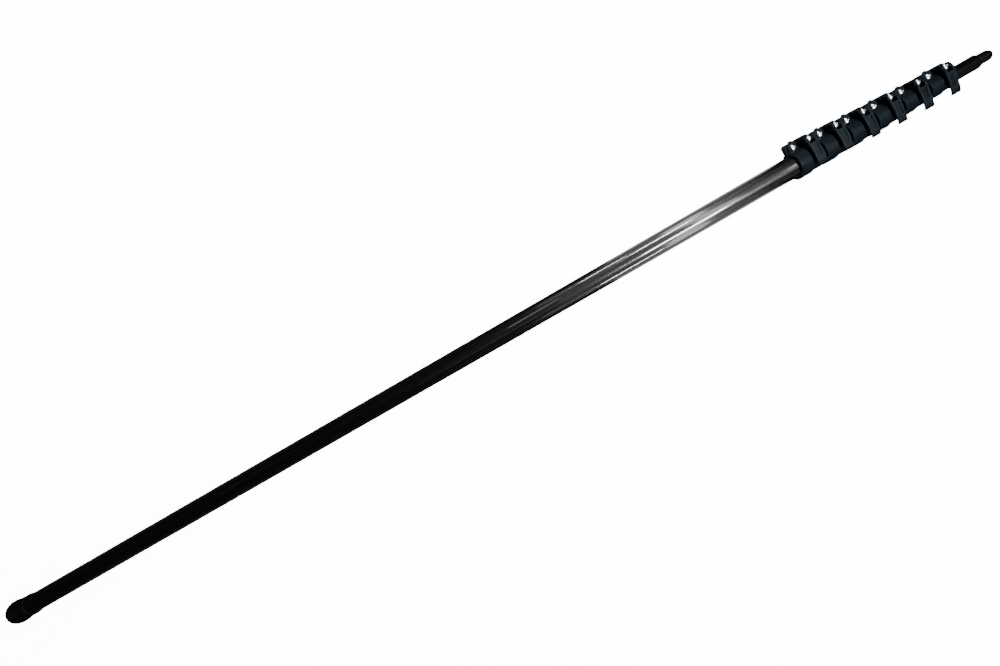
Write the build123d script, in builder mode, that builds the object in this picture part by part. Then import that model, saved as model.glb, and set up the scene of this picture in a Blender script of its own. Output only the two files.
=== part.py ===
"""Telescopic window cleaning pole, collapsed: seven carbon tubes, six cam-lever clamps, base cap and tip.

The pole lies along X with its tip towards +X. The clamp ears point to +Y, and the levers lie on the +Z side.
While it is drawn, the pole's axis is the X axis and its base end is at x = 0. Every piece is then shifted
together, so that the origin is the bottom centre of the whole object.
"""

import os
from math import acos, atan2, cos, degrees, hypot, radians, sin

from build123d import *

# --- Driving dimensions, in millimetres ---------------------------------------------------------------

TUBES = 7
CLAMPS = TUBES - 1
OUTER_TUBE_R = 18.5          # outside radius of section 1
TUBE_STEP_R = 1.2            # each section's outside radius is this much smaller than the last
TUBE_WALL = 0.9
INNER_TUBE_X = 19.0          # where the lower ends of sections 2 to 7 rest
OUTER_TUBE_X = 18.0          # floor of the base cap, where section 1 stands

CAP_BALL_R = 23.1
CAP_DOME_LENGTH = 15.5       # end of the cap to its widest ring
CAP_NECK_X = 34.0            # where the swell has run down to the cuff
CAP_CUFF_R = 20.7
CAP_RIM_X = 51.0
CAP_RIM_ROUND = 1.2

FIRST_CLAMP_X = 1660.0       # lower end of clamp 1
CLAMP_PITCH = 44.0
LOWER_LENGTH = 20.0          # band that grips the outer tube
SLOT_WIDTH = 4.6             # cross slot between the two bands
UPPER_LENGTH = 17.4          # band that the cam closes on the inner tube
LOWER_BAND_R = [23.2, 22.0, 20.9, 19.9, 18.5, 17.2]
UPPER_BAND_WALL = 4.0
BAND_CHAMFER = 0.8
SEAT_GAP = 0.05              # radial, lower band on its tube
RUNNING_GAP = 0.08           # radial, upper band on the sliding tube
EAR_TOP = [37.0, 34.0, 31.2, 29.2, 26.2, 26.0]
LUG_HEIGHT = 2.0             # lug on the outer edge of the front ear
LUG_LENGTH = 5.5
LUG_WIDTH = 3.6
LUG_OFFSET = 1.5             # from the fixed screw, towards the tip
EAR_OUTER_Z = 5.0            # outer faces of the ears, each side of the split
EAR_SPLIT = 1.8              # gap between the ears
EAR_INSET = 0.4              # ears stop short of the ends of the bands
BOLT_Y = [26.6, 23.8, 20.8, 18.8, 17.2, 16.6]

SCREW_X = 11.0               # fixed screw, from the clamp's lower end
CAM_X = 31.5                 # cam bolt and lever centre line, from the clamp's lower end
BOSS_SIDE = 14.0
BOSS_TOP_Z = 8.0
BOSS_BELOW = 6.2             # boss on the pole's side of the screw
BOSS_CORNER = 3.0
PAD_SIDE = 13.0              # cam's bearing pad, across the pole
PAD_CORNER = 2.0
SPOT_FACE_GAP = 0.4          # round the fixed screw's head
NUT_GAP = 0.5                # round each nut
CUT_DEPTH = 12.0             # spot faces are cut this far outwards
OVERCUT = 5.0                # how far a cutting shape passes the part
BRIDGE_SHARE = 0.55          # height of the bridge under the cross slot, as a share of the band's radius
SCREW_R = 2.0
SCREW_HOLE_R = 2.15
SCREW_HEAD_R = 4.6
SCREW_HEAD_HEIGHT = 2.8
SOCKET_R = 1.6
SOCKET_DEPTH = 1.6
SCREW_RIM = 1.7              # straight edge under the head's dome
THREAD_CHAMFER = 0.5
SCREW_PROTRUDES = 0.8        # past the nut
NUT_R = 3.9
NUT_HEIGHT = 3.2

CAM_PIN_Z = [14.5, 14.0, 13.5, 13.0, 12.5, 12.0]
CAM_R = 7.0                  # closed side of the cam, next to the ear
CAM_RELEASED_R = 5.9         # the cam's low side, which faces the ear when the lever is open
CAM_CLEARANCE = 0.3
LEVER_UNDERSIDE = 7.0        # straight underside of the arm, above the pin
LEVER_THICKNESS = 2.3
LEVER_LENGTH = 43.6          # pin to the end of the finger tab
LEVER_WIDTH = 15.0
LEVER_WAIST = 13.8
LEVER_RUN_GAP = 0.3          # arm above the upper band
FORK_GAP = 8.6
FORK_DEPTH = 8.8             # from the pin towards the arm
FORK_CORNER = 1.5
PANEL_HALF_WIDTH = 4.4       # recessed panel on top of the arm
PANEL_DEPTH = 1.0            # below the arm's straight top
PANEL_SIDES_Y = -29.0        # where the panel's round end starts
PANEL_END_Y = -33.4
CHEEK_GAP = 0.3              # ends of the cross pin inside the lever's sides
BARREL_R = 4.5
BARREL_LENGTH = 8.2
BARREL_FLAT = 0.5            # cut off the barrel under the bolt's head
TRUNNION_R = 2.75
TRUNNION_GAP = 0.07
CAM_HEAD_R = 4.1

TIP_SHOULDER_X = 1963.0      # end of section 7
TIP_R = 8.65
TIP_END_X = 1989.0
TIP_CONE = 2.6
TIP_COLLAR = 0.9             # full-width ring before the cone
TIP_CHAMFER = 0.4
PLUG_CHAMFER = 1.0
TIP_PLUG_LENGTH = 45.0


def tube_r(number):
    """Outside radius of a section."""
    return OUTER_TUBE_R - TUBE_STEP_R * (number - 1)


def clamp_x(number):
    """Lower end of a clamp."""
    return FIRST_CLAMP_X + CLAMP_PITCH * (number - 1)


def upper_band_r(number):
    """Outside radius of the band that grips the next, thinner tube."""
    return tube_r(number + 1) + UPPER_BAND_WALL


def lever_tilt(number):
    """Angle of a closed lever about its pin, in degrees: its underside just clears the upper band."""
    pin_y = BOLT_Y[number - 1]
    pin_z = CAM_PIN_Z[number - 1]
    tangent = upper_band_r(number) + LEVER_RUN_GAP - LEVER_UNDERSIDE
    return degrees(atan2(pin_y, pin_z) - acos(tangent / hypot(pin_y, pin_z)))


pieces = []


def keep(part, node):
    """Name a finished piece and hold it for the common shift and export."""
    part.label = node
    pieces.append(part)


# --- Base cap -----------------------------------------------------------------------------------------

with BuildPart() as base_cap:
    with BuildSketch(Plane.XY):
        with BuildLine():
            dome_mid = (CAP_DOME_LENGTH * (1 - cos(radians(50))), CAP_BALL_R * sin(radians(50)))
            Spline((0, 0), dome_mid, (CAP_DOME_LENGTH, CAP_BALL_R), tangents=[(0, 1), (1, 0)])
            Spline((CAP_DOME_LENGTH, CAP_BALL_R), (CAP_NECK_X, CAP_CUFF_R), tangents=[(1, 0), (1, 0)])
            Line((CAP_NECK_X, CAP_CUFF_R), (CAP_RIM_X - CAP_RIM_ROUND, CAP_CUFF_R))
            rim_mid = CAP_RIM_ROUND * (1 - cos(radians(45)))
            ThreePointArc((CAP_RIM_X - CAP_RIM_ROUND, CAP_CUFF_R),
                          (CAP_RIM_X - rim_mid, CAP_CUFF_R - rim_mid),
                          (CAP_RIM_X, CAP_CUFF_R - CAP_RIM_ROUND))
            Polyline((CAP_RIM_X, CAP_CUFF_R - CAP_RIM_ROUND), (CAP_RIM_X, OUTER_TUBE_R + SEAT_GAP),
                     (OUTER_TUBE_X, OUTER_TUBE_R + SEAT_GAP), (OUTER_TUBE_X, 0), (0, 0))
        make_face()
    revolve(axis=Axis.X)
keep(base_cap.part, "base_cap")

# --- Tubes --------------------------------------------------------------------------------------------

for number in range(1, TUBES + 1):
    start_x = OUTER_TUBE_X if number == 1 else INNER_TUBE_X
    end_x = TIP_SHOULDER_X if number == TUBES else clamp_x(number) + LOWER_LENGTH
    with BuildPart() as tube:
        with BuildSketch(Plane.YZ.offset(start_x)):
            Circle(tube_r(number))
            Circle(tube_r(number) - TUBE_WALL, mode=Mode.SUBTRACT)
        extrude(amount=end_x - start_x)
    keep(tube.part, f"section_{number}_tube")

# --- Tip ----------------------------------------------------------------------------------------------

last_r = tube_r(TUBES)
plug_r = last_r - TUBE_WALL - SEAT_GAP
plug_x = TIP_SHOULDER_X - TIP_PLUG_LENGTH
with BuildPart() as tip_spigot:
    with BuildSketch(Plane.XY):
        with BuildLine():
            Polyline((plug_x, 0), (plug_x, plug_r - PLUG_CHAMFER),
                     (plug_x + PLUG_CHAMFER, plug_r), (TIP_SHOULDER_X, plug_r),
                     (TIP_SHOULDER_X, last_r - TIP_CHAMFER), (TIP_SHOULDER_X + TIP_CHAMFER, last_r),
                     (TIP_SHOULDER_X + TIP_COLLAR, last_r), (TIP_SHOULDER_X + TIP_COLLAR + TIP_CONE, TIP_R),
                     (TIP_END_X - TIP_R, TIP_R))
            ThreePointArc((TIP_END_X - TIP_R, TIP_R), (TIP_END_X - TIP_R * (1 - cos(radians(45))),
                          TIP_R * sin(radians(45))), (TIP_END_X, 0))
            Line((TIP_END_X, 0), (plug_x, 0))
        make_face()
    revolve(axis=Axis.X)
keep(tip_spigot.part, "tip_spigot")


# --- Clamps -------------------------------------------------------------------------------------------


def clamp_body(number):
    """Moulded clamp: two bands with ears, split along the ears and cut across between the bands."""
    x = clamp_x(number)
    slot_x = x + LOWER_LENGTH
    upper_x = slot_x + SLOT_WIDTH
    end_x = upper_x + UPPER_LENGTH
    lower_r = LOWER_BAND_R[number - 1]
    upper_r = upper_band_r(number)
    ear_top = EAR_TOP[number - 1]
    bolt_y = BOLT_Y[number - 1]
    pad_z = CAM_PIN_Z[number - 1] - CAM_R - CAM_CLEARANCE
    boss_low = bolt_y - BOSS_BELOW
    boss_high = min(ear_top - 0.5, bolt_y + BOSS_SIDE / 2)

    with BuildPart() as body:
        # the two bands, with a short cone between them
        with BuildSketch(Plane.XY):
            with BuildLine():
                Polyline((x, 0), (x, lower_r - BAND_CHAMFER), (x + BAND_CHAMFER, lower_r),
                         (slot_x - BAND_CHAMFER, lower_r), (slot_x, lower_r - BAND_CHAMFER),
                         (upper_x, upper_r), (end_x - BAND_CHAMFER, upper_r),
                         (end_x, upper_r - BAND_CHAMFER), (end_x, 0), (x, 0))
            make_face()
        revolve(axis=Axis.X)
        # the ears of both bands, as one rail that is rounded at its two outer corners
        with BuildSketch(Plane.XY.offset(-EAR_OUTER_Z)):
            with BuildLine():
                Polyline((x + EAR_INSET, 0), (x + EAR_INSET, ear_top - 4), (x + 2, ear_top),
                         (upper_x, ear_top), (end_x - 3, ear_top - 0.8),
                         (end_x - EAR_INSET, ear_top - 4.5), (end_x - EAR_INSET, 0), (x + EAR_INSET, 0))
            make_face()
        extrude(amount=2 * EAR_OUTER_Z)
        # fixed screw's bosses, one on each ear
        with BuildSketch(Plane.XY.offset(-BOSS_TOP_Z)):
            with Locations((x + SCREW_X, (boss_low + boss_high) / 2)):
                RectangleRounded(BOSS_SIDE, boss_high - boss_low, BOSS_CORNER)
        extrude(amount=2 * BOSS_TOP_Z)
        # cam's bearing pad on the front ear, and the nut's pad behind
        with BuildSketch(Plane.XY.offset(-BOSS_TOP_Z)):
            with Locations((x + CAM_X, bolt_y + 0.4)):
                RectangleRounded(LEVER_WIDTH + 0.6, PAD_SIDE, PAD_CORNER)
        extrude(amount=BOSS_TOP_Z + pad_z)
        # small lug on top of the front ear, beside the screw
        with BuildSketch(Plane.XZ.offset(LUG_HEIGHT / 2 - ear_top)):
            with Locations((x + SCREW_X + LUG_OFFSET, EAR_OUTER_Z - LUG_WIDTH / 3)):
                RectangleRounded(LUG_LENGTH, LUG_WIDTH, LUG_WIDTH / 3)
        extrude(amount=-1.5 * LUG_HEIGHT)
        # bores
        with BuildSketch(Plane.YZ.offset(x)):
            Circle(tube_r(number) + SEAT_GAP)
        extrude(amount=LOWER_LENGTH, mode=Mode.SUBTRACT)
        with BuildSketch(Plane.YZ.offset(slot_x)):
            Circle(tube_r(number + 1) + RUNNING_GAP)
        extrude(amount=end_x - slot_x, mode=Mode.SUBTRACT)
        # the split between the ears
        with BuildSketch(Plane.XY.offset(-EAR_SPLIT / 2)):
            with Locations((x, 0)):
                Rectangle(end_x - x, ear_top + OVERCUT, align=(Align.MIN, Align.MIN))
        extrude(amount=EAR_SPLIT, mode=Mode.SUBTRACT)
        # the cross slot, which leaves a bridge on the side away from the ears
        slot_foot = -upper_r * BRIDGE_SHARE
        with BuildSketch(Plane.XY):
            with Locations((slot_x, slot_foot)):
                Rectangle(SLOT_WIDTH, ear_top + OVERCUT - slot_foot, align=(Align.MIN, Align.MIN))
        extrude(amount=lower_r + OVERCUT, both=True, mode=Mode.SUBTRACT)
        # pocket for the cam, and a spot face for the fixed screw's head
        with BuildSketch(Plane.YZ.offset(upper_x)):
            with Locations((bolt_y, CAM_PIN_Z[number - 1])):
                Circle(CAM_R + CAM_CLEARANCE)
        extrude(amount=UPPER_LENGTH, mode=Mode.SUBTRACT)
        with BuildSketch(Plane.XY.offset(BOSS_TOP_Z)):
            with Locations((x + SCREW_X, bolt_y)):
                Circle(SCREW_HEAD_R + SPOT_FACE_GAP)
        extrude(amount=CUT_DEPTH, mode=Mode.SUBTRACT)
        # spot faces behind, for the two nuts
        with BuildSketch(Plane.XY.offset(-BOSS_TOP_Z)):
            with Locations((x + SCREW_X, bolt_y), (x + CAM_X, bolt_y)):
                Circle(NUT_R + NUT_GAP)
        extrude(amount=-CUT_DEPTH, mode=Mode.SUBTRACT)
        # holes for the fixed screw and the cam bolt
        with Locations(Location((x + SCREW_X, bolt_y, 0)), Location((x + CAM_X, bolt_y, 0))):
            Cylinder(SCREW_HOLE_R, 2 * (BOSS_TOP_Z + OVERCUT), mode=Mode.SUBTRACT)
    return body.part


def cam_lever(number):
    """Forked cam lever, drawn flat along -Y from a pin at the origin, then tilted and placed."""
    underside = LEVER_UNDERSIDE
    top = LEVER_UNDERSIDE + LEVER_THICKNESS
    with BuildPart() as lever:
        # side view: cam head, straight underside, slightly crowned top, finger tab curving down
        with BuildSketch(Plane.YZ.offset(-LEVER_WIDTH / 2 - 1)):
            with BuildLine():
                cam = CenterArc((0, 0), CAM_R, 225, 90)
                Line(cam @ 1, (CAM_RELEASED_R, -0.6))
                nose = ThreePointArc((CAM_RELEASED_R, -0.6), (CAM_RELEASED_R * cos(radians(35)),
                                     CAM_RELEASED_R * sin(radians(35)) + 0.2), (1.6, 6.6))
                brow = Spline(nose @ 1, (-2.0, top - 0.7), (-7.0, top + 0.2),
                              tangents=[nose % 1, (-1, 0.03)])
                crown = ThreePointArc(brow @ 1, (-20, top + 0.5), (-35, top - 0.3))
                tab = ThreePointArc(crown @ 1, (-39.5, top - 0.9), (-LEVER_LENGTH, top - 2.3))
                Line(tab @ 1, (-LEVER_LENGTH - 0.2, top - 2.3 - LEVER_THICKNESS))
                under_tab = ThreePointArc((-LEVER_LENGTH - 0.2, top - 2.3 - LEVER_THICKNESS),
                                          (-39.5, underside - 0.75), (-35, underside))
                Line(under_tab @ 1, (-13, underside))
                gusset = Spline((-13, underside), (-8.6, 5.4), (-6.7, 1.8),
                                tangents=[(1, 0), (0.1, -1)])
                ThreePointArc(gusset @ 1, (-6.5, -2.0), cam @ 0)
            make_face()
        extrude(amount=LEVER_WIDTH + 2)
        # plan view: cheeks, waist and flared tab
        with BuildSketch(Plane.XY):
            half = LEVER_WIDTH / 2
            waist = LEVER_WAIST / 2
            with BuildLine():
                right = Spline((half, -6), (waist, -20), (waist, -33), (half - 0.4, -LEVER_LENGTH - 2),
                               tangents=[(0, -1), (0.12, -1)])
                Line(right @ 1, (-half + 0.4, -LEVER_LENGTH - 2))
                left = Spline((-half + 0.4, -LEVER_LENGTH - 2), (-waist, -33), (-waist, -20), (-half, -6),
                              tangents=[(0.12, 1), (0, 1)])
                Polyline(left @ 1, (-half, 10), (half, 10), (half, -6))
            make_face()
        extrude(amount=LEVER_WIDTH, both=True, mode=Mode.INTERSECT)
        # recessed panel on the arm, with a round end
        with BuildSketch(Plane.XY.offset(top - PANEL_DEPTH)):
            with BuildLine():
                Polyline((PANEL_HALF_WIDTH, PANEL_SIDES_Y), (PANEL_HALF_WIDTH, -FORK_DEPTH - 2),
                         (-PANEL_HALF_WIDTH, -FORK_DEPTH - 2), (-PANEL_HALF_WIDTH, PANEL_SIDES_Y))
                ThreePointArc((-PANEL_HALF_WIDTH, PANEL_SIDES_Y), (0, PANEL_END_Y),
                              (PANEL_HALF_WIDTH, PANEL_SIDES_Y))
            make_face()
        extrude(amount=OVERCUT, mode=Mode.SUBTRACT)
        # fork for the bolt and barrel
        with BuildSketch(Plane.XY):
            Rectangle(FORK_GAP, LEVER_WIDTH, align=(Align.CENTER, Align.MIN))
            Rectangle(FORK_GAP, FORK_DEPTH - FORK_CORNER, align=(Align.CENTER, Align.MAX))
            with Locations((0, FORK_CORNER - FORK_DEPTH)):
                RectangleRounded(FORK_GAP, 2 * FORK_CORNER, FORK_CORNER - 0.1)
        extrude(amount=LEVER_WIDTH, both=True, mode=Mode.SUBTRACT)
        # pin holes in the cheeks
        with BuildSketch(Plane.YZ.offset(-LEVER_WIDTH)):
            Circle(TRUNNION_R + TRUNNION_GAP)
        extrude(amount=2 * LEVER_WIDTH, mode=Mode.SUBTRACT)
    tilt = Rotation(-lever_tilt(number), 0, 0)
    pin = Location((clamp_x(number) + CAM_X, BOLT_Y[number - 1], CAM_PIN_Z[number - 1]))
    return pin * tilt * lever.part


def cam_barrel(number):
    """Cross pin of the cam: a barrel between the cheeks, with a trunnion at each end and a bolt hole."""
    with BuildPart() as barrel:
        with BuildSketch(Plane.YZ.offset(CHEEK_GAP - LEVER_WIDTH / 2)):
            Circle(TRUNNION_R)
        extrude(amount=LEVER_WIDTH - 2 * CHEEK_GAP)
        with BuildSketch(Plane.YZ.offset(-BARREL_LENGTH / 2)):
            Circle(BARREL_R)
        extrude(amount=BARREL_LENGTH)
        Cylinder(SCREW_R, 4 * BARREL_R, mode=Mode.SUBTRACT)
        # flat on top, under the bolt's head
        with Locations((0, 0, BARREL_R - BARREL_FLAT)):
            Box(2 * BARREL_LENGTH, 2 * BARREL_R, BARREL_R, align=(Align.CENTER, Align.CENTER, Align.MIN),
                mode=Mode.SUBTRACT)
    return Location((clamp_x(number) + CAM_X, BOLT_Y[number - 1], CAM_PIN_Z[number - 1])) * barrel.part


def button_screw(seat_z, end_z, head_r):
    """Button-head socket screw along -Z, from the seat under its head to its end."""
    with BuildPart() as screw:
        with BuildSketch(Plane.XZ):
            with BuildLine():
                dome = ThreePointArc((0, seat_z + SCREW_HEAD_HEIGHT),
                                     (head_r * 0.62, seat_z + SCREW_HEAD_HEIGHT * 0.92),
                                     (head_r, seat_z + SCREW_RIM))
                Polyline(dome @ 1, (head_r, seat_z), (SCREW_R, seat_z), (SCREW_R, end_z + THREAD_CHAMFER),
                         (SCREW_R - THREAD_CHAMFER, end_z), (0, end_z), (0, seat_z + SCREW_HEAD_HEIGHT))
            make_face()
        revolve(axis=Axis.Z)
        with BuildSketch(Plane.XY.offset(seat_z + SCREW_HEAD_HEIGHT - SOCKET_DEPTH)):
            RegularPolygon(SOCKET_R, 6)
        extrude(amount=SCREW_HEAD_HEIGHT, mode=Mode.SUBTRACT)
    return screw.part


def hex_nut(face_z):
    """Hexagon nut under a face, with its hole a little wider than the thread."""
    with BuildPart() as nut:
        with BuildSketch(Plane.XY.offset(face_z - NUT_HEIGHT)):
            RegularPolygon(NUT_R, 6)
            Circle(SCREW_R, mode=Mode.SUBTRACT)
        extrude(amount=NUT_HEIGHT)
    return nut.part


for number in range(1, CLAMPS + 1):
    bolt_y = BOLT_Y[number - 1]
    screw_place = Location((clamp_x(number) + SCREW_X, bolt_y, 0))
    cam_place = Location((clamp_x(number) + CAM_X, bolt_y, 0))
    barrel_top = CAM_PIN_Z[number - 1] + BARREL_R - BARREL_FLAT
    screw_end = -BOSS_TOP_Z - NUT_HEIGHT - SCREW_PROTRUDES
    keep(clamp_body(number), f"clamp_{number}_body")
    keep(cam_lever(number), f"clamp_{number}_lever")
    keep(cam_barrel(number), f"clamp_{number}_cam_pin")
    keep(cam_place * button_screw(barrel_top, screw_end, CAM_HEAD_R), f"clamp_{number}_cam_bolt")
    keep(screw_place * button_screw(BOSS_TOP_Z, screw_end, SCREW_HEAD_R), f"clamp_{number}_fixed_screw")
    nuts = Compound(children=[cam_place * hex_nut(-BOSS_TOP_Z), screw_place * hex_nut(-BOSS_TOP_Z)])
    keep(nuts, f"clamp_{number}_nuts")

# --- Common shift and export --------------------------------------------------------------------------

boxes = [piece.bounding_box() for piece in pieces]
low = [min(getattr(box.min, side) for box in boxes) for side in "XYZ"]
high = [max(getattr(box.max, side) for box in boxes) for side in "XYZ"]
shift = Location((-(low[0] + high[0]) / 2, -(low[1] + high[1]) / 2, -low[2]))

os.makedirs("parts", exist_ok=True)
for piece in pieces:
    node = piece.label
    placed = shift * piece
    placed.label = node
    export_step(placed, f"parts/{node}.step")
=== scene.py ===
"""Looks of the window cleaning pole: materials, studio light and camera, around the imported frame."""

import math

import bmesh
import bpy
from mathutils import Matrix, Vector


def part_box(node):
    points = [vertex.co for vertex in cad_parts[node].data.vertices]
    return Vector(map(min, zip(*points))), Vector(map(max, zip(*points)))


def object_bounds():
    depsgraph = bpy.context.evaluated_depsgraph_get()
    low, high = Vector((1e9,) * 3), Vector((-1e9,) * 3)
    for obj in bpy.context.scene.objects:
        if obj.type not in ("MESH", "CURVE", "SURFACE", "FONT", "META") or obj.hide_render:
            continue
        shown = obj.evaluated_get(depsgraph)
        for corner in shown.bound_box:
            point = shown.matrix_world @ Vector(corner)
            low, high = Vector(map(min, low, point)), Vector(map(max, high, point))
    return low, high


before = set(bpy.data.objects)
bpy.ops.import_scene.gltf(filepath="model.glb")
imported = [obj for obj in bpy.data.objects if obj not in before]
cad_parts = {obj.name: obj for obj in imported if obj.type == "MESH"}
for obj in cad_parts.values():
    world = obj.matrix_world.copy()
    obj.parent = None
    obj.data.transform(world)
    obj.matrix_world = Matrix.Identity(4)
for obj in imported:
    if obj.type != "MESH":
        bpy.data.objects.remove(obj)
cad_low, cad_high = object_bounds()
CLAMPS = range(1, 7)
SECTIONS = range(1, 8)

tube_low, tube_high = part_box("section_1_tube")
BASE_END = cad_low.x  # everything below is placed from the base end and the pole's axis
AXIS_Y = (tube_low.y + tube_high.y) / 2
AXIS_Z = (tube_low.z + tube_high.z) / 2


def at(along, side, above):
    """A point by its distance from the base end, to the ears' side and above the pole's axis, in metres."""
    return Vector((BASE_END + along, AXIS_Y + side, AXIS_Z + above))


# ---- nodes -------------------------------------------------------------------------------------


class Finish:
    """One procedural material: its Principled shader and the nodes that feed it."""

    def __init__(self, name, **sockets):
        self.material = bpy.data.materials.new(name)
        self.material.use_nodes = True
        self.tree = self.material.node_tree
        self.shader = self.tree.nodes["Principled BSDF"]
        self.set(self.shader, sockets)
        self.place = self.add("ShaderNodeTexCoord").outputs["Object"]

    def set(self, node, sockets):
        for key, value in sockets.items():
            socket = node.inputs[key.replace("_", " ")] if isinstance(key, str) else node.inputs[key]
            if isinstance(value, bpy.types.NodeSocket):
                self.tree.links.new(value, socket)
            else:
                socket.default_value = value

    def add(self, kind, sockets=None, **settings):
        node = self.tree.nodes.new(kind)
        for key, value in settings.items():
            setattr(node, key, value)
        self.set(node, sockets or {})
        return node

    def noise(self, per_metre, detail=3.0, roughness=0.55, offset=0.0):
        """Noise whose features repeat about per_metre times a metre along x, y and z."""
        stretched = self.add(
            "ShaderNodeMapping",
            {"Vector": self.place, "Scale": per_metre, "Location": (offset, offset, offset)},
        )
        noise = self.add(
            "ShaderNodeTexNoise",
            {"Vector": stretched.outputs[0], "Scale": 1.0, "Detail": detail, "Roughness": roughness},
        )
        return noise.outputs[0]

    def remap(self, value, low, high, new_low, new_high):
        node = self.add(
            "ShaderNodeMapRange",
            {"Value": value, "From Min": low, "From Max": high, "To Min": new_low, "To Max": new_high},
        )
        return node.outputs[0]

    def maths(self, operation, first, second=0.0):
        return self.add("ShaderNodeMath", {0: first, 1: second}, operation=operation).outputs[0]

    def blend(self, factor, first, second):
        """A colour between two others."""
        node = self.add("ShaderNodeMix", data_type="RGBA")
        colours = [socket for socket in node.inputs if socket.type == "RGBA"]
        self.set(node, {0: factor})
        for socket, value in zip(colours, (first, second)):
            if isinstance(value, bpy.types.NodeSocket):
                self.tree.links.new(value, socket)
            else:
                socket.default_value = (*value, 1.0)
        return next(socket for socket in node.outputs if socket.type == "RGBA")

    def bump(self, height, strength, distance, normal=None):
        sockets = {"Height": height, "Strength": strength, "Distance": distance}
        if normal is not None:
            sockets["Normal"] = normal
        return self.add("ShaderNodeBump", sockets).outputs[0]

    def feed(self, **sockets):
        self.set(self.shader, sockets)
        return self.material


def rounded(finish, radius):
    """The normal with edges rounded to a radius, and a mask that is 1 on those edges."""
    bevel = finish.add("ShaderNodeBevel", {"Radius": radius}, samples=6).outputs[0]
    true_normal = finish.add("ShaderNodeNewGeometry").outputs["Normal"]
    turned = finish.add("ShaderNodeVectorMath", {0: bevel, 1: true_normal}, operation="DOT_PRODUCT")
    return bevel, finish.remap(turned.outputs["Value"], 0.998, 0.93, 0.0, 1.0)


# ---- materials ---------------------------------------------------------------------------------


def carbon(name, offset, coat, gleam):
    """Carbon fibre: lengthwise tows under a clear coat, glossy or nearly rubbed away, with faint haze."""
    f = Finish(name, IOR=1.5, Specular_IOR_Level=gleam, Coat_Weight=coat, Coat_Roughness=0.07, Coat_IOR=1.5)
    fibres = f.noise((5.0, 1400.0, 1400.0), detail=4.0, offset=offset)
    tows = f.noise((1.6, 190.0, 190.0), detail=2.0, offset=offset)
    haze = f.noise((7.0, 30.0, 30.0), detail=4.0, offset=offset)
    grain = f.maths("ADD", f.maths("MULTIPLY", fibres, 0.6), f.maths("MULTIPLY", tows, 0.4))
    black, grey = (0.0006, 0.0006, 0.00065), (0.0028, 0.0028, 0.003)
    colour = f.blend(f.remap(grain, 0.35, 0.65, 0.0, 1.0), black, grey)
    rough = f.maths("ADD", f.remap(grain, 0.3, 0.7, 0.17, 0.27), f.remap(haze, 0.35, 0.7, 0.0, 0.06))
    base = f.bump(grain, 0.06, 0.00012)
    peel = f.noise((14.0, 90.0, 90.0), detail=1.0, offset=offset)
    coat = f.bump(peel, 0.05, 0.0004)
    return f.feed(Base_Color=colour, Roughness=rough, Normal=base, Coat_Normal=coat)


def nylon(name, dark, light, roughness, edge_radius, edge_highlight_tone):
    """Glass-filled nylon: fine moulded grain, soft mottling, edges rounded, rubbed smoother, and lighter in
    colour, partly as wear and partly as a painted edge highlight.
    """
    bluish = (0.72, 0.9, 1.0, 1.0)
    f = Finish(name, IOR=1.5, Specular_IOR_Level=0.09, Specular_Tint=bluish)
    edge_normal, edge = rounded(f, edge_radius)
    mottle = f.noise((55.0, 55.0, 55.0), detail=5.0, roughness=0.6)
    grain = f.noise((2600.0, 2600.0, 2600.0), detail=2.0)
    flow = f.noise((60.0, 420.0, 420.0), detail=3.0)
    tone = f.maths("ADD", f.maths("MULTIPLY", mottle, 0.65), f.maths("MULTIPLY", flow, 0.35))
    colour = f.blend(f.remap(tone, 0.35, 0.65, 0.0, 1.0), dark, light)
    # painted highlight: the rounded edges take a colour several times lighter than the nylon, partly rubbed
    # wear and partly a painted edge highlight
    rubbed = f.maths("MULTIPLY", edge, f.remap(mottle, 0.3, 0.65, 0.35, 1.0))
    colour = f.blend(rubbed, colour, tuple(edge_highlight_tone * c for c in light))
    worn_tone = f.maths("SUBTRACT", tone, f.maths("MULTIPLY", rubbed, 0.25))
    rough = f.remap(worn_tone, 0.2, 0.7, roughness - 0.16, roughness + 0.08)
    normal = f.bump(grain, 0.25, 0.00012, edge_normal)
    return f.feed(Base_Color=colour, Roughness=rough, Normal=normal)


SCUFFED_LENGTH = 0.02  # of the cap's foot


def rubber():
    """Moulded rubber: matte, slightly dusty, with a scuffed foot."""
    f = Finish("cap_rubber", IOR=1.5, Specular_IOR_Level=0.12)
    edge_normal, edge = rounded(f, 0.0008)
    dust = f.noise((90.0, 90.0, 90.0), detail=6.0, roughness=0.65)
    pores = f.noise((1900.0, 1900.0, 1900.0), detail=2.0)
    along = f.add("ShaderNodeSeparateXYZ", {"Vector": f.place}).outputs[0]
    foot = f.remap(along, BASE_END, BASE_END + SCUFFED_LENGTH, 1.0, 0.0)
    scuffed = f.maths("MULTIPLY", foot, f.remap(dust, 0.45, 0.65, 0.0, 1.0))
    clean, dusty, bare = (0.0005, 0.0005, 0.0005), (0.0014, 0.0014, 0.0013), (0.008, 0.0078, 0.0072)
    colour = f.blend(f.remap(dust, 0.35, 0.7, 0.0, 1.0), clean, dusty)
    colour = f.blend(f.maths("MULTIPLY", f.maths("ADD", scuffed, edge), 0.5), colour, bare)
    rough = f.remap(dust, 0.3, 0.7, 0.55, 0.78)
    return f.feed(Base_Color=colour, Roughness=rough, Normal=f.bump(pores, 0.3, 0.00015, edge_normal))


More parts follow.
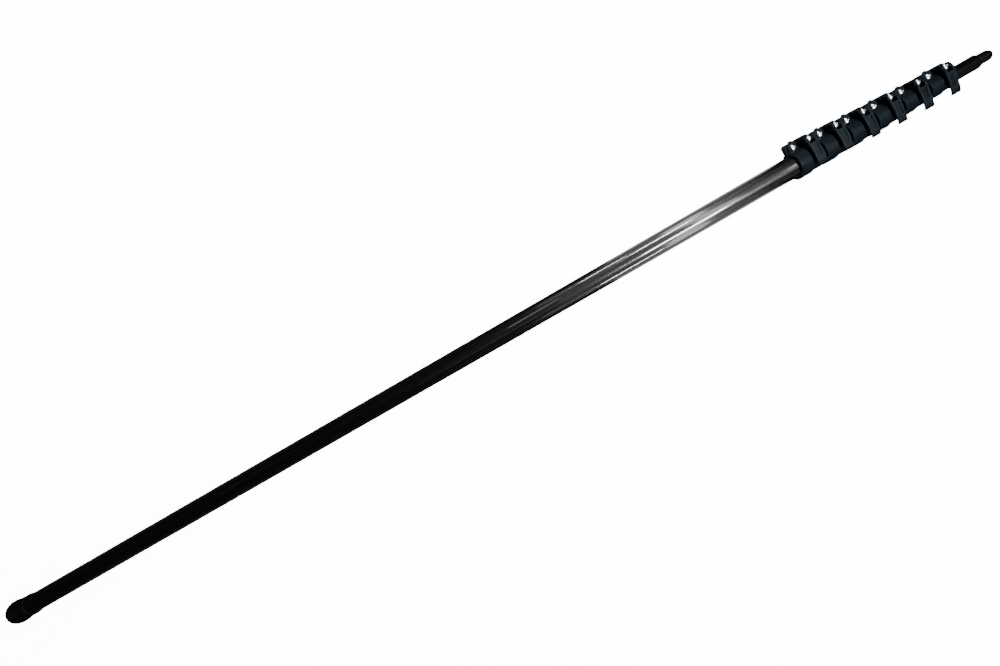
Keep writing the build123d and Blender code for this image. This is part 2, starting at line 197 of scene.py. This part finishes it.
def tip_plastic():
    """Turned and moulded spigot: satin black, faint rings round it and lengthwise rub marks."""
    f = Finish("tip_plastic", IOR=1.5, Specular_IOR_Level=0.07)
    edge_normal, edge = rounded(f, 0.0005)
    rings = f.noise((2200.0, 30.0, 30.0), detail=2.0)
    rubs = f.noise((18.0, 900.0, 900.0), detail=4.0)
    mottle = f.noise((120.0, 120.0, 120.0), detail=4.0)
    worn = f.maths("MULTIPLY", f.remap(rubs, 0.52, 0.7, 0.0, 1.0), f.remap(mottle, 0.4, 0.6, 0.2, 1.0))
    deep, satin, rubbed = (0.0009, 0.0009, 0.0011), (0.002, 0.002, 0.0023), (0.007, 0.007, 0.008)
    colour = f.blend(f.remap(mottle, 0.35, 0.65, 0.0, 1.0), deep, satin)
    colour = f.blend(f.maths("MAXIMUM", f.maths("MULTIPLY", worn, 0.6), edge), colour, rubbed)
    rough = f.maths("ADD", f.remap(rings, 0.3, 0.7, 0.3, 0.42), f.maths("MULTIPLY", worn, 0.12))
    return f.feed(Base_Color=colour, Roughness=rough, Normal=f.bump(rings, 0.1, 0.0001, edge_normal))


def steel():
    """Bright stainless steel with fine scratches and slightly dulled edges."""
    f = Finish("bright_steel", Metallic=1.0)
    edge_normal, edge = rounded(f, 0.0003)
    scratches = f.noise((500.0, 3200.0, 1100.0), detail=3.0, roughness=0.6)
    cloud = f.noise((260.0, 260.0, 260.0), detail=3.0)
    dull, bright, polished = (0.62, 0.62, 0.63), (0.82, 0.82, 0.84), (0.9, 0.9, 0.9)
    colour = f.blend(f.remap(cloud, 0.3, 0.7, 0.0, 1.0), dull, bright)
    colour = f.blend(f.maths("MULTIPLY", edge, 0.4), colour, polished)
    rough = f.remap(scratches, 0.3, 0.7, 0.15, 0.24)
    return f.feed(Base_Color=colour, Roughness=rough, Normal=f.bump(scratches, 0.04, 0.00002, edge_normal))


WHITE = (1.0, 1.0, 1.0, 1.0)
BLACK = (0.0, 0.0, 0.0, 1.0)


def floor_white():
    """A light table: a pale diffusing sheet lit from below, so it stays white."""
    f = Finish("floor_white", Roughness=0.9, Specular_IOR_Level=0.1, Emission_Strength=13.0)
    cloud = f.noise((1.5, 1.5, 1.5), detail=2.0)
    f.feed(Emission_Color=WHITE)
    return f.feed(Base_Color=f.blend(cloud, (0.88, 0.88, 0.88), (0.92, 0.92, 0.92)))


def backdrop_white():
    """A white backdrop, a little brighter than the floor so that the two meet evenly."""
    f = Finish("backdrop_white", Roughness=1.0, Specular_IOR_Level=0.0, Emission_Strength=15.0)
    return f.feed(Emission_Color=WHITE)


def dress(node, material):
    """Gives a CAD node one material."""
    mesh_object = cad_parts[node]
    for material_slot in mesh_object.material_slots:
        material_slot.material = material


# the edge tones below set how much lighter the edges are painted, as a painted edge highlight
CLAMP_NYLON = nylon(
    "clamp_nylon",
    dark=(0.0008, 0.0018, 0.0031),
    light=(0.0016, 0.0031, 0.005),
    roughness=0.5,
    edge_radius=0.0007,
    edge_highlight_tone=4.5,
)
LEVER_NYLON = nylon(
    "lever_nylon",
    dark=(0.0012, 0.0022, 0.0034),
    light=(0.0024, 0.0038, 0.0054),
    roughness=0.42,
    edge_radius=0.0011,
    edge_highlight_tone=6.5,
)
STEEL = steel()
OUTER_TUBE = {"coat": 1.0, "gleam": 0.3}
INNER_TUBE = {"coat": 0.12, "gleam": 0.08}
PATTERN_STEP = 3.7  # metres between the places in the noise that two tubes' patterns come from

dress("base_cap", rubber())
dress("tip_spigot", tip_plastic())
for k in SECTIONS:
    surface = OUTER_TUBE if k == 1 else INNER_TUBE
    dress(f"section_{k}_tube", carbon(f"carbon_tube_{k}", PATTERN_STEP * k, **surface))
for k in CLAMPS:
    dress(f"clamp_{k}_body", CLAMP_NYLON)
    dress(f"clamp_{k}_lever", LEVER_NYLON)
    dress(f"clamp_{k}_cam_pin", LEVER_NYLON)
    for part in ("cam_bolt", "fixed_screw", "nuts"):
        dress(f"clamp_{k}_{part}", STEEL)


# ---- stage, light and camera -------------------------------------------------------------------

STAGE_ALONG = 1.0
STAGE_R = 45.0
STAGE_SIDES = 96
FLOOR_RINGS = (0, 2.0, 12.0, STAGE_R)
DOME_RINGS = 16


def place_on_stage(name, mesh, material):
    """Turns a built mesh into a stage object with one material."""
    data = bpy.data.meshes.new(name)
    mesh.to_mesh(data)
    mesh.free()
    data.materials.append(material)
    made = bpy.data.objects.new(name, data)
    bpy.context.collection.objects.link(made)
    return made


def shell(name, rings, material):
    """A stage surface made of rings of points, each a radius and a height, from the first to the last."""
    centre = at(STAGE_ALONG, 0, 0).xy.to_3d()
    step = 2 * math.pi / STAGE_SIDES
    mesh = bmesh.new()
    rows = []
    for radius, height in rings:
        sides = STAGE_SIDES if radius else 1
        spots = [
            Vector((radius * math.cos(i * step), radius * math.sin(i * step), height)) for i in range(sides)
        ]
        rows.append([mesh.verts.new(centre + spot) for spot in spots])
    for lower, upper in zip(rows, rows[1:]):
        for i in range(STAGE_SIDES):
            j = (i + 1) % STAGE_SIDES
            corners = [lower[i % len(lower)], lower[j % len(lower)]]
            corners += [upper[j % len(upper)], upper[i % len(upper)]]
            mesh.faces.new(list(dict.fromkeys(corners)))
    made = place_on_stage(name, mesh, material)
    made.data.shade_smooth()
    return made


floor = shell("floor", [(radius, cad_low.z) for radius in FLOOR_RINGS], floor_white())
floor.visible_glossy = False
floor.visible_diffuse = False

rise = math.pi / 2 / DOME_RINGS
dome_rings = [
    (STAGE_R * math.cos(i * rise), cad_low.z + STAGE_R * math.sin(i * rise)) for i in range(DOME_RINGS)
]
dome = shell("backdrop", [*dome_rings, (0, cad_low.z + STAGE_R)], backdrop_white())
dome.visible_glossy = False
dome.visible_diffuse = False
dome.visible_shadow = False

CARD_RISE = 0.0004
CARD_LEVEL = cad_low.z - AXIS_Z + CARD_RISE
# white cards lying beside the pole, seen only in its gloss: name, start, end, near side, far side, brightness
CARDS = (
    ("card_ears", 1.34, 1.66, 0.03, 0.5, 1.1),
    ("card_levers", 1.34, 1.66, -0.03, -0.5, 1.1),
    ("card_base_ears", 0.0, 1.34, 0.03, 0.5, 0.05),
    ("card_base_levers", 0.0, 1.34, -0.03, -0.5, 0.05),
)
for name, start, end, near, far, brightness in CARDS:
    corners = [(start, near), (end, near), (end, far), (start, far)]
    if far > near:
        corners.reverse()
    mesh = bmesh.new()
    mesh.faces.new([mesh.verts.new(at(along, side, CARD_LEVEL)) for along, side in corners])
    f = Finish(name, Roughness=1.0, Specular_IOR_Level=0.0, Emission_Strength=brightness)
    card = place_on_stage(name, mesh, f.feed(Emission_Color=WHITE, Base_Color=BLACK))
    card.visible_camera = False
    card.visible_diffuse = False
    card.visible_shadow = False

WORLD_GREY = (0.01, 0.0105, 0.011, 1.0)
world = bpy.data.worlds.new("studio")
world.use_nodes = True
world.node_tree.nodes["Background"].inputs["Color"].default_value = WORLD_GREY
bpy.context.scene.world = world

# name, (along, side, above), (length, width), radiant power, seen in reflections, aimed at (along)
LIGHTS = (
    ("key_top", (2.12, -0.56, 2.0), (0.50, 0.30), 56.0, True, 1.45),
    ("strip_ears_near", (2.04, 1.66, 1.5), (0.38, 0.10), 24.0, True, 1.42),
    ("strip_ears_far", (1.66, 2.22, 1.0), (0.34, 0.08), 9.0, True, 1.30),
    ("strip_levers", (1.84, -2.30, 0.8), (0.44, 0.10), 18.0, True, 1.33),
    ("band_soft", (1.13, 0.95, 2.0), (0.36, 0.50), 1.5, True, 1.18),
    ("line_soft", (0.74, -0.80, 2.0), (0.90, 0.10), 0.5, True, 1.06),
    ("bridge", (2.31, 0.0, 2.0), (0.26, 4.0), 26.0, True, 1.55),
    ("bridge_ears", (2.31, 2.3, 1.1), (0.28, 1.9), 14.0, True, 1.55),
    ("bridge_levers", (2.31, -2.3, 1.1), (0.28, 1.9), 14.0, True, 1.55),
    ("wash_top", (2.05, 0.0, 2.05), (1.5, 3.4), 9.0, True, 1.55),
    ("wash_ears", (2.05, 2.6, 1.1), (1.8, 1.9), 7.0, True, 1.55),
    ("wash_levers", (2.05, -2.6, 1.1), (1.8, 1.9), 7.0, True, 1.55),
    ("kicker", (2.62, 0.07, 1.2), (0.54, 0.46), 5.6, True, 1.80),
    ("rim_levers", (3.60, -2.1, 0.9), (0.8, 0.25), 2.0, True, 1.85),
    ("fill", (1.0, 0.0, 4.5), (6.0, 5.0), 90.0, False, 1.0),
)
for name, spot, size, power, reflected, aim in LIGHTS:
    lamp = bpy.data.lights.new(name, "AREA")
    lamp.shape = "RECTANGLE"
    lamp.size, lamp.size_y = size
    lamp.energy = power
    holder = bpy.data.objects.new(name, lamp)
    bpy.context.collection.objects.link(holder)
    away = (at(*spot) - at(aim, 0, 0)).normalized()
    lengthwise = (Vector((1, 0, 0)) - away * away.x).normalized()
    turn = Matrix((lengthwise, away.cross(lengthwise), away)).transposed().to_4x4()
    holder.matrix_world = Matrix.Translation(at(*spot)) @ turn
    holder.visible_camera = False
    holder.visible_glossy = reflected

CAMERA_ALONG = 1.20125
CAMERA_SIDE = 0.0034
CAMERA_ABOVE = 0.8155
LOOK_ALONG = 1.11554
CAMERA_ROLL = math.radians(29.92)
LENS = 17.045
SENSOR_WIDTH = 36.0

eye = at(CAMERA_ALONG, CAMERA_SIDE, CAMERA_ABOVE)
looking = (at(LOOK_ALONG, CAMERA_SIDE, 0) - eye).normalized()
along_view = Vector((-looking.z, 0, looking.x))
across = Vector((0, 1, 0))
right = along_view * math.cos(CAMERA_ROLL) - across * math.sin(CAMERA_ROLL)
up = along_view * math.sin(CAMERA_ROLL) + across * math.cos(CAMERA_ROLL)
camera = bpy.data.objects.new("camera", bpy.data.cameras.new("camera"))
camera.data.sensor_width = SENSOR_WIDTH
camera.data.lens = LENS
camera.matrix_world = Matrix.Translation(eye) @ Matrix((right, up, -looking)).transposed().to_4x4()
bpy.context.collection.objects.link(camera)
bpy.context.scene.camera = camera

bpy.context.view_layer.update()
